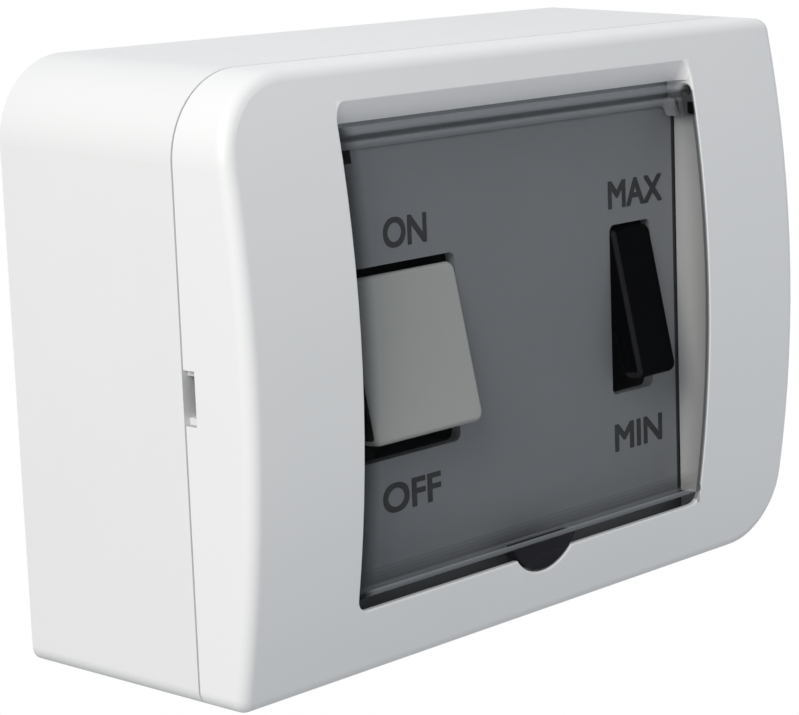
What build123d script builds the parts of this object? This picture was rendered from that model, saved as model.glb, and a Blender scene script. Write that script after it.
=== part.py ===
"""Surface-mounted fan speed regulator with a smoked flap over its two rockers.

The wall is the plane XZ: X runs to the right, Z up and Y into the wall, in millimetres,
with the origin in the middle of the case's back. Every piece is drawn lying on its back,
as (across, up, depth from the wall), and is stood against the wall when it is written.
"""

import os
from math import cos, radians, sin, sqrt

from build123d import *

# Case: a flat back box and a bowed cover, with a leaf-shaped outline
case_width = 130.0
case_height = 92.0
seam_depth = 37.5  # wall to the joint between box and cover
edge_depth = 46.0143  # wall to the cover's top and bottom edges
front_bow = 5.0  # how far the middle of the front stands past those edges
corner_top_left = 12.6
corner_bottom_right = 12.0
corner_sharp = 2.4
corner_least = 0.6  # round left on the crisp corners inside the walls
front_edge_round = 2.0
top_fall = 1.8  # drop of the top face between the wall and the cover's edge
wall = 2.4
back_wall = 2.6
shadow_gap = 0.35  # open line between box and cover
lip_height = 2.5  # tongue of the box inside the cover
lip_inset = 1.2
lip_clearance = 0.15

# Window in the cover, with a sloping head
cheek_left = 22.6
cheek_right = 24.6
top_band = 7.0
bottom_band = 10.4
head_slope = 3.4
head_depth = 2.0  # how far back the sloping head reaches
window_round = 2.0
window_edge_round = 0.3
window_lip = 0.9  # thickness of the window's edge at its sides and foot
window_step = 1.8  # set-back of the walls behind that edge
rim_wall = 1.9
rim_gap = 0.3  # rim to fascia
finger_notch_width = 13.0
finger_notch_drop = 3.0
prise_slot_height = 8.0
prise_slot_depth = 2.6
prise_slot_centre = -0.8
prise_bite = 6.0  # part of the slot that is open through the lip

# Snap hooks of the cover, two along the top and two along the bottom
hook_spacing = 60.0
hook_width = 10.0
hook_thickness = 1.5
hook_reach = 6.0  # past the seam, into the box
hook_barb = 1.1
hook_barb_length = 2.5
hook_clearance = 0.25

# Flap
flap_thickness = 1.6
flap_inset = 0.15  # flap below the cover's surface
flap_side_gap = 0.35
flap_foot_gap = 2.0
flap_bead_radius = 0.8
finger_tab_thickness = 2.6
hinge_roll_radius = 1.3
hinge_drop = 1.7  # hinge axis below the window's inner head
hinge_pin_radius = 0.9
hinge_pin_length = 1.8
pin_clearance = 0.05
hinge_web_thickness = 1.8
hinge_web_reach = 3.0  # down the pane from the roll

# Fascia behind the flap
fascia_recess = 3.4  # behind the cover's top and bottom edges
fascia_thickness = 1.8
fascia_clearance = 4.2  # to the inside of the case
fascia_round = 8.0

# Rockers, both pressed in at the top
on_off_width = 24.0
on_off_end_gap = 1.1  # above and below the rocker
speed_width = 10.0
speed_end_gap = 0.5
rocker_length = 25.0
rocker_tilt = 12.4
rocker_drop = 1.0  # pivots below the case's middle
rocker_rise = 6.4  # pivot to front face
rocker_proud = 0.2  # pressed end above the fascia
rocker_skin = 3.0
rocker_round = 0.8
rocker_corner = 1.6
on_off_margin = 4.7  # left of the window to the rocker's opening
speed_margin = 5.0  # right of the window to the rocker's opening
opening_gap = 0.35
opening_round = 1.2
pivot_radius = 1.3
boss_radius = 3.1
boss_length = 5.0
plunger_radius = 1.9
plunger_reach = 9.0
plunger_guide = 1.4  # length guided in the boss
plunger_nose_flat = 0.2
plunger_clearance = 0.08
spring_wire = 0.5
spring_turns = 5

# Switch bodies and their contacts
switch_wall = 1.5
switch_floor = 1.6
arm_width = 4.6
arm_thickness = 0.8
arm_tilt = 7.0
arm_gap = 0.1
contact_offset = 8.5  # pivot to contact
contact_radius = 1.4
contact_height = 0.6
contact_gap = 0.05
strip_thickness = 0.8
ear_gap = 0.3
blade_width = 1.2
blade_thickness = 0.8
blade_clearance = 0.1

# Fixings
pillar_radius = 3.5
pillar_inset = 3.6  # pillar axis inside the fascia's edge
screw_radius = 1.2
screw_length = 10.0
screw_head_radius = 2.6
screw_head_height = 1.9
pilot_clearance = 0.05
hole_clearance = 0.4
wall_hole_radius = 2.25
wall_hole_span = 70.0
wall_hole_inset = 8.0  # hole axis inside the case's top and bottom
cable_entry_radius = 8.0
cable_entry_inset = 15.0
knockout_radius = 8.0
knockout_groove = 0.8
knockout_depth = 1.2
knockout_span = 50.0

# Circuit board
board_thickness = 1.6
board_gap = 2.0  # to the pillars
board_screw_inset = 8.0
lead_radius = 0.4
lead_clearance = 0.2
lead_tail = 1.5

# Parts on the board, on the side towards the wall
pole_count = 4
pole_pitch = 7.5
terminal_length = 11.0
terminal_height = 13.0
part_gap = 2.0  # between neighbours on the board
clamp_size = 4.8
clamp_wall = 0.8
wire_entry = 3.0
clamp_screw_radius = 1.5
clamp_head_radius = 2.1
clamp_well_clearance = 0.15
clamp_slot_width = 0.6
clamp_slot_depth = 1.2
fuse_length = 20.0
fuse_radius = 2.6
fuse_cap_length = 5.0
fuse_cap_wall = 0.3
fuse_cap_overlap = 1.0  # tube inside each cap
fuse_glass = 0.5
fuse_lift = 4.2
clip_thickness = 0.5
clip_mouth = 3.7
clip_foot = 2.0
film_cap_size = (18.0, 9.0, 14.0)
timing_cap_size = (7.5, 4.0, 8.5)
choke_outer_radius = 10.0
choke_inner_radius = 5.5
choke_height = 6.0
winding_thickness = 1.3
winding_arc = 300.0
tab_width = 10.0
tab_length = 15.6
tab_thickness = 1.3
triac_case_length = 9.0
triac_case_thickness = 4.4
triac_lift = 4.0
triac_lead_pitch = 2.54
triac_lead_step = 1.2  # leads in front of the tab
triac_screw_inset = 3.0
sink_length = 26.0
sink_height = 16.0
sink_plate = 2.0
sink_fin_reach = 9.0
sink_fin_thickness = 1.2
sink_fin_count = 5
axial_radius = 1.3
axial_length = 6.4
axial_span = 10.5
resistor_pitch = 4.2
resistor_count = 3
box_lead_inset = 1.5
cap_edge_round = 0.6

# Places worked out from the sizes above
half_width = case_width / 2
half_height = case_height / 2
bow_radius = (half_height**2 + front_bow**2) / (2 * front_bow)
bow_centre = edge_depth + front_bow - bow_radius
front_depth = edge_depth + front_bow
window_half = half_width - (cheek_left + cheek_right) / 2
window_middle = (cheek_left - cheek_right) / 2
window_top = half_height - top_band
window_bottom = bottom_band - half_height
throat_top = window_top - head_slope
fascia_front = edge_depth - fascia_recess
fascia_back = fascia_front - fascia_thickness
rim_back = fascia_front + rim_gap
lip_top = seam_depth + lip_height
past_front = front_depth + wall
fascia_half_width = half_width - wall - fascia_clearance
fascia_half_height = half_height - wall - fascia_clearance
pillar_x = fascia_half_width - pillar_inset
pillar_y = fascia_half_height - pillar_inset

tilt = radians(rocker_tilt)
rocker_half = rocker_length / 2
rocker_y = -rocker_drop
pivot_depth = fascia_front + rocker_proud - rocker_rise * cos(tilt) + rocker_half * sin(tilt)
rocker_reach = rocker_rise * sin(tilt) + rocker_half * cos(tilt)  # pivot to either end, as it swings
on_off_x = cheek_left - half_width + on_off_margin + opening_gap + on_off_width / 2
speed_x = half_width - cheek_right - speed_margin - opening_gap - speed_width / 2
spring_seat = pivot_radius  # blind end of the boss's bore, in front of the pivot
arm_axis = pivot_depth - plunger_reach - arm_gap - arm_thickness / 2
arm_foot = contact_height + arm_thickness / 2
contact_top = (
    arm_axis
    - contact_offset * sin(radians(arm_tilt))
    - (arm_foot + contact_radius * sin(radians(arm_tilt))) * cos(radians(arm_tilt))
    - contact_gap
)
switch_bed = contact_top - contact_height - strip_thickness
board_front = switch_bed - switch_floor
board_back = board_front - board_thickness
board_half_width = pillar_x - pillar_radius - board_gap
board_half_height = pillar_y
board_screw_x = board_half_width - board_screw_inset
board_screw_y = board_half_height - board_screw_inset

hinge_y = throat_top - hinge_drop
flap_outer_radius = bow_radius - flap_inset
flap_half = window_half - flap_side_gap
flap_bottom = window_bottom + flap_foot_gap
hinge_depth = bow_centre + sqrt((flap_outer_radius - hinge_roll_radius) ** 2 - hinge_y**2)

# Middle of each part on the board, across and up, clear of the switches in front of it
switch_half = rocker_reach + max(on_off_end_gap, speed_end_gap) + switch_wall
on_off_edge = on_off_x + on_off_width / 2 + opening_gap + switch_wall
speed_edge = speed_x - speed_width / 2 - opening_gap - switch_wall
terminal_half = pole_count * pole_pitch / 2
lower_row = rocker_y - switch_half - part_gap
upper_row = rocker_y + switch_half + part_gap
terminal_place = (0.0, -board_half_height + part_gap + terminal_length / 2)
fuse_place = (-terminal_half - part_gap - fuse_length / 2, lower_row - fuse_radius - part_gap)
resistor_place = (terminal_half + 2 * part_gap + axial_radius, lower_row - axial_span / 2)
timing_cap_place = (on_off_edge + part_gap + timing_cap_size[0] / 2, lower_row + timing_cap_size[1])
choke_top = upper_row - part_gap
choke_place = ((on_off_edge + speed_edge) / 2, choke_top - winding_thickness - choke_outer_radius)
sink_place = (on_off_x, upper_row + tab_thickness + triac_lead_step)
film_cap_place = (speed_edge, upper_row + part_gap + film_cap_size[1] / 2)
diac_x = (sink_place[0] + sink_length / 2 + film_cap_place[0] - film_cap_size[0] / 2) / 2
diac_place = (diac_x, upper_row + axial_span / 2)


def slab(sketch, low, high):
    """Extrudes a flat shape between two depths."""
    return Pos(0, 0, low) * extrude(sketch, high - low)


def block(x_range, y_range, z_range):
    """Box between two corners."""
    lows = (x_range[0], y_range[0], z_range[0])
    sizes = (x_range[1] - x_range[0], y_range[1] - y_range[0], z_range[1] - z_range[0])
    return Pos(*lows) * Box(*sizes, align=Align.MIN)


def rod(radius, start, end):
    """Round rod from one point to another."""
    line = Vector(*end) - Vector(*start)
    return Plane(origin=start, z_dir=line) * extrude(Circle(radius), line.length)


def inside(side, depth):
    """Height of the case's inner face above its middle, at the top or the bottom."""
    return half_height - wall - max(side, 0) * top_fall * depth / edge_depth


def case_block(inset, low, high):
    """Case between two depths: two opposite corners round, two crisp, and a falling top."""
    grow = wall - inset
    block_side = [(-inside(-1, low) - grow, low), (inside(1, low) + grow, low)]
    block_side += [(inside(1, high) + grow, high), (-inside(-1, high) - grow, high)]
    solid = across_prism(block_side, half_width - inset)
    for across, up, radius in (
        (-1, 1, corner_top_left),
        (1, -1, corner_bottom_right),
        (1, 1, corner_sharp),
        (-1, -1, corner_sharp),
    ):
        lengthways = solid.edges().filter_by(lambda e: abs((e @ 1 - e @ 0).Z) > (high - low) / 2)
        edge = lengthways.sort_by(lambda e: across * e.center().X + up * e.center().Y)[-1]
        solid = fillet(edge, max(radius - inset, corner_least))
    return solid


def bow(inset):
    """Everything behind the bowed front, which is a large cylinder lying across the case."""
    return Pos(0, 0, bow_centre) * Rot(0, 90, 0) * Cylinder(bow_radius - inset, 2 * case_width)


def surface_depth(up):
    """Depth of the bowed front at a height."""
    return bow_centre + sqrt(bow_radius**2 - up**2)


def across_prism(points, half):
    """Extrudes an (up, depth) outline across the case, the same distance to each side."""
    face = make_face(Polyline(*[(0, up, depth) for up, depth in points], close=True))
    return extrude(face, half, dir=(1, 0, 0), both=True)


def four(x, y):
    """Four places in a rectangle round the middle."""
    return [(sx * x, sy * y) for sx in (-1, 1) for sy in (-1, 1)]


def hook_places():
    """Middle of each snap hook across the case, with the side it is on."""
    return [(sx * hook_spacing / 2, side) for sx in (-1, 1) for side in (-1, 1)]


def back_box():
    """Open box on the wall, with a locating lip, hook pockets, pillars and cable entries."""
    shell = case_block(0, 0, seam_depth)
    shell += case_block(lip_inset, 0, lip_top)
    shell -= case_block(wall, back_wall, lip_top)
    for x, y in four(pillar_x, pillar_y):
        top = (x, y, fascia_back)
        shell += rod(pillar_radius, (x, y, back_wall / 2), top)
        shell -= rod(screw_radius + pilot_clearance, (x, y, fascia_back - screw_length), top)
    for x, side in hook_places():
        shell -= hook_pocket(x, side)
    for side in (-1, 1):
        shell -= prise_cut(side, prise_bite, wall, seam_depth, lip_top)
    for x, y in four(wall_hole_span / 2, half_height - wall_hole_inset):
        shell -= rod(wall_hole_radius, (x, y, 0), (x, y, back_wall))
    entry_y = cable_entry_inset - half_height
    shell -= rod(cable_entry_radius, (0, entry_y, 0), (0, entry_y, back_wall))
    for x in (-knockout_span / 2, knockout_span / 2):
        shell -= knockout_ring(x)
    return shell


def knockout_ring(x):
    """Thin groove round a cable knock-out in the bottom of the box."""
    middle = (seam_depth + back_wall) / 2
    low, high = (x, -half_height, middle), (x, -half_height + knockout_depth, middle)
    return rod(knockout_radius, low, high) - rod(knockout_radius - knockout_groove, low, high)


def hook_face(side):
    """Height of a hook's outer face, clear of the case's inside where the hook begins."""
    return inside(side, lip_top) - hook_clearance


def hook_pocket(x, side):
    """Recess in the box's wall that holds a hook's barb."""
    tip = seam_depth - hook_reach
    outer = hook_face(side)
    up = sorted((side * outer, side * (outer + hook_barb + hook_clearance)))
    across = (x - hook_width / 2 - hook_clearance, x + hook_width / 2 + hook_clearance)
    return block(across, up, (tip - hook_clearance, tip + hook_barb_length + hook_clearance))


def prise_cut(side, height, reach, low, high):
    """Cut through the side wall for a screwdriver blade."""
    across = sorted((side * (half_width - reach), side * (half_width + wall)))
    up = (prise_slot_centre - height / 2, prise_slot_centre + height / 2)
    return block(across, up, (low, high))


def front_cover():
    """Bowed cover with its window, rim, hinge sockets, snap hooks and prising slots."""
    cover = case_block(0, seam_depth + shadow_gap, past_front) & bow(0)
    front = cover.faces().sort_by(lambda f: f.center().Z)[-1]
    cover = fillet(front.edges(), front_edge_round)
    cover -= case_block(wall, seam_depth, past_front) & bow(wall)
    cover -= case_block(lip_inset - lip_clearance, seam_depth, lip_top)
    cover += window_rim()
    cover -= window_cut()
    cover -= finger_notch(0)
    cover = fillet(window_edges(cover), window_edge_round)
    for side in (-1, 1):
        mouth = window_middle + side * window_half
        floor = mouth + side * (hinge_pin_length + pin_clearance)
        ends = [(x, hinge_y, hinge_depth) for x in (mouth, floor)]
        cover -= rod(hinge_pin_radius + pin_clearance, *ends)
        cover -= prise_cut(side, prise_slot_height, lip_inset, seam_depth, seam_depth + prise_slot_depth)
    for x, side in hook_places():
        cover += snap_hook(x, side)
    return cover


def window_rim():
    """Wall round the window, from the fascia to inside the cover's skin."""
    low, high = window_bottom - finger_notch_drop - rim_wall, window_top + rim_wall
    width = 2 * (window_half + window_step + rim_wall)
    frame = Pos(window_middle, (low + high) / 2) * Rectangle(width, high - low)
    return slab(fillet(frame.vertices(), window_round), rim_back, past_front) & bow(wall / 2)


def window_cut():
    """Window through the cover, with its sloping head and set-back walls."""
    head = head_slope / head_depth
    head_back = surface_depth(window_top) - head_depth
    opening = across_prism(
        [
            (window_bottom, rim_back),
            (throat_top - head * (head_back - rim_back), rim_back),
            (throat_top + head * (past_front - head_back), past_front),
            (window_bottom, past_front),
        ],
        window_half,
    )
    edges = opening.edges().filter_by(lambda e: abs((e @ 1 - e @ 0).Z) > wall)
    opening = fillet(edges, window_round)
    roll_foot = hinge_y - hinge_roll_radius
    throat_front = hinge_depth + hinge_roll_radius / 2
    opening += block((-window_half, window_half), (roll_foot, throat_top), (rim_back, throat_front))
    wide = window_half + window_step
    below_hinge = (window_bottom - window_step, roll_foot - hinge_web_reach)
    recess = block((-wide, wide), below_hinge, (rim_back, past_front)) & bow(window_lip)
    return Pos(window_middle, 0, 0) * (opening + recess)


def finger_notch(inset):
    """Round bar that cuts the finger notch, or with an inset makes the tab that fills it."""
    radius = (finger_notch_width**2 / 4 + finger_notch_drop**2) / (2 * finger_notch_drop)
    middle = window_bottom - finger_notch_drop + radius
    return rod(radius - inset, (0, middle, rim_back), (0, middle, past_front))


def window_edges(cover):
    """Front edges of the window, on the bowed surface."""
    front = cover.faces().sort_by(lambda f: f.center().Z)[-1]
    return front.inner_wires()[0].edges()


def snap_hook(x, side):
    """Hook that hangs from the cover's wall into the box and catches in its pocket."""
    tip = seam_depth - hook_reach
    outer = hook_face(side)
    inner = outer - hook_thickness
    root = (lip_top + hook_clearance, lip_top + 2 * hook_thickness)
    across = (x - hook_width / 2, x + hook_width / 2)
    tongue = block(across, sorted((side * inner, side * outer)), (tip, root[1]))
    tongue += block(across, sorted((side * inner, side * (inside(side, root[1]) + wall / 2))), root)
    barb = [
        (side * (outer - hook_thickness / 2), tip),
        (side * outer, tip),
        (side * (outer + hook_barb), tip + hook_barb_length),
        (side * (outer - hook_thickness / 2), tip + hook_barb_length),
    ]
    return tongue + Pos(x, 0, 0) * across_prism(barb, hook_width / 2)


def flap():
    """Smoked flap: a bowed pane with hinge roll and pins at its top, and bead and tab at its foot."""
    ring = bow(flap_inset) - bow(flap_inset + flap_thickness)
    pane = ring & block((-flap_half, flap_half), (flap_bottom, hinge_y), (bow_centre, past_front))
    axis = [(side * flap_half, hinge_y, hinge_depth) for side in (-1, 1)]
    pane += rod(hinge_roll_radius, *axis)
    bead_y = flap_bottom + flap_bead_radius
    bead_depth = surface_depth(bead_y) - flap_inset - flap_bead_radius / 2
    pane += rod(flap_bead_radius, (-flap_half, bead_y, bead_depth), (flap_half, bead_y, bead_depth))
    for side in (-1, 1):
        pane += hinge_web(side)
        tip = (side * (window_half + hinge_pin_length), hinge_y, hinge_depth)
        pane += rod(hinge_pin_radius, (side * (flap_half - hinge_roll_radius), hinge_y, hinge_depth), tip)
    return Pos(window_middle, 0, 0) * pane + finger_tab(bead_y)


def finger_tab(top):
    """Half-moon tab that hangs from the flap's foot into the finger notch."""
    shell = bow(flap_inset) - bow(flap_inset + finger_tab_thickness)
    below = block((-window_half, window_half), (-half_height, top), (rim_back, past_front))
    return shell & finger_notch(flap_side_gap) & below


def hinge_web(side):
    """Thick web at each end of the flap, which stiffens the corner behind the hinge roll."""
    foot = hinge_y - hinge_roll_radius - hinge_web_reach
    corners = [
        (hinge_y, hinge_depth),
        (hinge_y, hinge_depth - hinge_roll_radius),
        (foot, surface_depth(foot) - flap_inset - flap_thickness),
        (foot, surface_depth(foot) - flap_inset - flap_thickness / 2),
    ]
    middle = side * (flap_half - hinge_web_thickness / 2)
    return Pos(middle, 0, 0) * across_prism(corners, hinge_web_thickness / 2)


def fascia_plate():
    """Grey plate behind the flap, with the rocker openings and bosses for the board."""
    outline = RectangleRounded(2 * fascia_half_width, 2 * fascia_half_height, fascia_round)
    outline -= Pos(on_off_x, rocker_y) * rocker_opening(on_off_width, on_off_end_gap)
    outline -= Pos(speed_x, rocker_y) * rocker_opening(speed_width, speed_end_gap)
    for x, y in four(pillar_x, pillar_y):
        outline -= Pos(x, y) * Circle(screw_radius + hole_clearance)
    plate = slab(outline, fascia_back, fascia_front)
    for x, y in four(board_screw_x, board_screw_y):
        foot = (x, y, board_front)
        plate += rod(pillar_radius, foot, (x, y, fascia_back))
        plate -= rod(screw_radius + pilot_clearance, foot, (x, y, board_front + screw_length))
    return plate


def rocker_opening(width, end_gap):
    """Outline of the opening round a rocker."""
    return RectangleRounded(width + 2 * opening_gap, 2 * (rocker_reach + end_gap), opening_round)


def screw(x, y, head_depth, outward):
    """Pan-head screw: the head stands on one depth and the shank runs the other way."""
    shank_end = head_depth - outward * (screw_length - pilot_clearance)
    head_end = head_depth + outward * screw_head_height
    head = rod(screw_head_radius, (x, y, head_depth), (x, y, head_end))
    rim = head.edges().sort_by(lambda e: outward * e.center().Z)[-1]
    return fillet(rim, screw_head_height / 2) + rod(screw_radius, (x, y, shank_end), (x, y, head_depth))


def fascia_screws():
    """Four screws that hold the fascia to the box's pillars."""
    return [screw(x, y, fascia_front, 1) for x, y in four(pillar_x, pillar_y)]


def board_screws():
    """Four screws that hold the board to the fascia's bosses."""
    return [screw(x, y, board_back, -1) for x, y in four(board_screw_x, board_screw_y)]


def rocker(width):
    """Paddle on side pins, with a boss behind it that guides the plunger."""
    half = width / 2
    back = rocker_rise - rocker_skin
    paddle = across_prism(
        [
            (-rocker_half, rocker_rise),
            (rocker_half, rocker_rise),
            (rocker_half - opening_gap, back),
            (boss_radius + pivot_radius, back),
            (boss_radius, -pivot_radius),
            (-boss_radius, -pivot_radius),
            (-boss_radius - pivot_radius, back),
            (opening_gap - rocker_half, back),
        ],
        half,
    )
    far = paddle.edges().filter_by(lambda e: abs(e.center().Y) > rocker_half - opening_gap)
    corners = far.filter_by(lambda e: abs(e.center().X) > half - opening_gap)
    paddle = fillet(corners, rocker_corner)
    face = paddle.faces().sort_by(Axis.Z)[-1]
    paddle = fillet(face.edges(), rocker_round)
    paddle += rod(boss_radius, (0, 0, 0), (0, 0, -boss_length))
    pin_end = half + opening_gap + switch_wall - 2 * pin_clearance
    paddle += rod(pivot_radius, (-pin_end, 0, 0), (pin_end, 0, 0))
    bore = rod(plunger_radius + plunger_clearance, (0, 0, -boss_length), (0, 0, spring_seat))
    return paddle - bore


def plunger():
    """Nylon plunger with a rounded nose that rides on the contact arm."""
    body = rod(plunger_radius, (0, 0, plunger_guide - boss_length), (0, 0, -plunger_reach))
    nose = body.edges().sort_by(Axis.Z)[0]
    return fillet(nose, plunger_radius - plunger_nose_flat)


def spring():
    """Coil spring between the bore's end and the plunger."""
    low = plunger_guide - boss_length + spring_wire / 2 + pin_clearance
    high = spring_seat - spring_wire / 2 - pin_clearance
    radius = plunger_radius - spring_wire / 2 - plunger_clearance
    path = Pos(0, 0, low) * Helix((high - low) / spring_turns, high - low, radius)
    section = Plane(origin=path @ 0, z_dir=path % 0) * Circle(spring_wire / 2)
    return sweep(section, path)


def at_pivot(piece, x):
    """Sets a rocker's piece on its pivot, pressed in at the top."""
    return Pos(x, rocker_y, pivot_depth) * Rot(-rocker_tilt, 0, 0) * piece


def switch_body(x, width, end_gap, throws):
    """Open switch housing behind the fascia, with bearings and slots for its contacts."""
    inner = rocker_opening(width, end_gap)
    outer = offset(inner, switch_wall)
    body = slab(outer, board_front, fascia_back) - slab(inner, switch_bed, fascia_back)
    reach = width / 2 + opening_gap + switch_wall
    body -= rod(pivot_radius + pin_clearance, (-reach, 0, pivot_depth), (reach, 0, pivot_depth))
    slot = Rectangle(blade_width + 2 * blade_clearance, blade_thickness + 2 * blade_clearance)
    for y in blade_places(throws):
        body -= slab(Pos(0, y) * slot, board_front, switch_bed)
    return Pos(x, rocker_y, 0) * body


def blade_places(throws):
    """Heights of a switch's blades from its pivot: the common one and one for each throw."""
    return [0.0] + [throw * contact_offset for throw in throws]


def switch_terminals(x, throws):
    """Common bracket under the contact arm and a fixed contact for each throw."""
    blade = Rectangle(blade_width, blade_thickness)
    tail = board_back - lead_tail
    ear_inner = arm_width / 2 + ear_gap
    ear_outer = ear_inner + strip_thickness
    length = (-contact_radius, contact_radius)
    post_top = arm_axis - arm_thickness / 2 - arm_gap
    bracket = block((-ear_outer, ear_outer), length, (switch_bed, post_top - arm_thickness))
    edge = (-blade_thickness / 2, blade_thickness / 2)
    bracket += block((-ear_inner, ear_inner), edge, (switch_bed, post_top))
    for side in (-1, 1):
        across = sorted((side * ear_inner, side * ear_outer))
        bracket += block(across, length, (switch_bed, arm_axis + arm_thickness))
    pieces = [bracket + slab(blade, tail, switch_bed)]
    for throw in throws:
        strip = slab(Rectangle(arm_width, 3 * contact_radius), switch_bed, switch_bed + strip_thickness)
        strip += rod(contact_radius, (0, 0, switch_bed), (0, 0, contact_top))
        strip += slab(blade, tail, switch_bed)
        pieces.append(Pos(0, throw * contact_offset, 0) * strip)
    return [Pos(x, rocker_y, 0) * piece for piece in pieces]


def contact_arm(x, throws):
    """Rocking contact strip, closed at its lower end."""
    half = contact_offset + contact_radius
    strip = RectangleRounded(arm_width, 2 * half, contact_radius)
    arm = slab(strip, -arm_thickness / 2, arm_thickness / 2)
    for throw in throws:
        y = throw * contact_offset
        arm += rod(contact_radius, (0, y, -arm_foot), (0, y, 0))
    return Pos(x, rocker_y, arm_axis) * Rot(arm_tilt, 0, 0) * arm


def on_board(piece, place):
    """Sets a part on the side of the board that faces the wall, its height running to the wall."""
    return Pos(place[0], place[1], board_back) * Rot(180, 0, 0) * piece


def lead(x, y, top):
    """Wire lead from a part's underside through the board."""
    return rod(lead_radius, (x, y, -board_thickness - lead_tail), (x, y, top))


def pole_places():
    """Middle of each terminal pole along the block."""
    return [(i - (pole_count - 1) / 2) * pole_pitch for i in range(pole_count)]


def axial_ends():
    """Where the leads of a part that lies along the board go through."""
    return [(0, -axial_span / 2), (0, axial_span / 2)]


def resistor_places():
    """Resistors side by side."""
    x, y = resistor_place
    return [(x + i * resistor_pitch, y) for i in range(resistor_count)]


def box_leads(size):
    """Two lead places under a box-shaped capacitor."""
    reach = size[0] / 2 - box_lead_inset
    return [(-reach, 0), (reach, 0)]


def triac_leads():
    """Three lead places of the triac, in a row along the heat sink."""
    return [(i * triac_lead_pitch, tab_thickness + triac_lead_step) for i in (-1, 0, 1)]


def clip_places():
    """Middle of the two fuse clips along the fuse."""
    reach = (fuse_length - fuse_cap_length) / 2
    return [(-reach, 0), (reach, 0)]


def choke_leads():
    """Two leads at the open part of the choke's winding."""
    mid = (choke_outer_radius + choke_inner_radius) / 2
    gap = radians(180 - winding_arc / 2) + 2 * lead_radius / mid
    return [(-mid * cos(gap), mid * sin(gap) * s) for s in (-1, 1)]


def lead_holes():
    """Every place where a lead passes through the board."""
    groups = [
        (terminal_place, [(x, 0) for x in pole_places()]),
        (fuse_place, clip_places()),
        (film_cap_place, box_leads(film_cap_size)),
        (timing_cap_place, box_leads(timing_cap_size)),
        (choke_place, choke_leads()),
        (sink_place, triac_leads()),
        (diac_place, axial_ends()),
    ]
    groups += [(place, axial_ends()) for place in resistor_places()]
    return [(place[0] + x, place[1] - y) for place, leads in groups for x, y in leads]


def circuit_board():
    """Board behind the switches, drilled for its screws, the switch blades and every lead."""
    outline = Rectangle(2 * board_half_width, 2 * board_half_height)
    for x, y in four(board_screw_x, board_screw_y):
        outline -= Pos(x, y) * Circle(screw_radius + hole_clearance)
    blade_hole = sqrt(blade_width**2 + blade_thickness**2) / 2 + blade_clearance
    for x, throws in ((on_off_x, (-1,)), (speed_x, (-1, 1))):
        for y in blade_places(throws):
            outline -= Pos(x, rocker_y + y) * Circle(blade_hole)
    for x, y in lead_holes():
        outline -= Pos(x, y) * Circle(lead_radius + lead_clearance)
    return slab(outline, board_back, board_front)


def terminal_housing():
    """Terminal block with a wire entry below and a screw well behind each pole."""
    length = (-terminal_length / 2, terminal_length / 2)
    body = block((-terminal_half, terminal_half), length, (0, terminal_height))
    cell = clamp_size / 2 + blade_clearance
    well = clamp_head_radius + clamp_well_clearance
    for x in pole_places():
        body -= block((x - cell, x + cell), (-cell, terminal_length / 2), (0, 2 * cell))
        body -= rod(well, (x, 0, 0), (x, 0, terminal_height))
    return on_board(body, terminal_place)


def terminal_clamps():
    """Brass cage in each pole, open towards the wire, with its blade through the board."""
    half = clamp_size / 2
    cage = Box(clamp_size, clamp_size, clamp_size)
    cage -= Box(clamp_size - 2 * clamp_wall, clamp_size, wire_entry)
    cage = Pos(0, 0, half) * cage
    cage -= rod(clamp_screw_radius + pilot_clearance, (0, 0, half), (0, 0, clamp_size))
    cage += lead(0, 0, clamp_wall / 2)
    return [on_board(Pos(x, 0, 0) * cage, terminal_place) for x in pole_places()]


def terminal_screws():
    """Clamping screw in each pole."""
    low, high = clamp_size + clamp_wall, terminal_height - clamp_wall
    width = (-clamp_slot_width / 2, clamp_slot_width / 2)
    head = rod(clamp_head_radius, (0, 0, low), (0, 0, high))
    head -= block((-clamp_head_radius, clamp_head_radius), width, (high - clamp_slot_depth, high))
    piece = head + rod(clamp_screw_radius, (0, 0, clamp_size / 2), (0, 0, low))
    return [on_board(Pos(x, 0, 0) * piece, terminal_place) for x in pole_places()]


def fuse_tube():
    """Glass tube of the fuse between its caps."""
    half = fuse_length / 2 - fuse_cap_length + fuse_cap_overlap
    outer = fuse_radius - fuse_cap_wall
    ends = [(-half, 0, fuse_lift), (half, 0, fuse_lift)]
    return on_board(rod(outer, *ends) - rod(outer - fuse_glass, *ends), fuse_place)


def fuse_caps():
    """Metal cap on each end of the fuse."""
    caps = []
    for side in (-1, 1):
        inner = side * (fuse_length / 2 - fuse_cap_length)
        outer = side * fuse_length / 2
        seat = inner + side * fuse_cap_overlap
        cap = rod(fuse_radius, (inner, 0, fuse_lift), (outer, 0, fuse_lift))
        cap -= rod(fuse_radius - fuse_cap_wall, (inner, 0, fuse_lift), (seat, 0, fuse_lift))
        caps.append(on_board(cap, fuse_place))
    return caps


def fuse_clips():
    """Spring clip round each cap, open away from the board."""
    bore = fuse_radius + pin_clearance
    outer = bore + clip_thickness
    half = fuse_cap_length / 2 - clip_thickness
    clips = []
    for x, y in clip_places():
        across = (x - half, x + half)
        ends = [(end, y, fuse_lift) for end in across]
        clip = rod(outer, *ends) - rod(bore, *ends)
        clip -= block(across, (y - clip_mouth / 2, y + clip_mouth / 2), (fuse_lift, fuse_lift + outer))
        foot_top = fuse_lift - bore - clip_thickness / 2
        clip += block(across, (y - clip_foot / 2, y + clip_foot / 2), (0, foot_top))
        clips.append(on_board(clip + lead(x, y, clip_thickness), fuse_place))
    return clips


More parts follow.
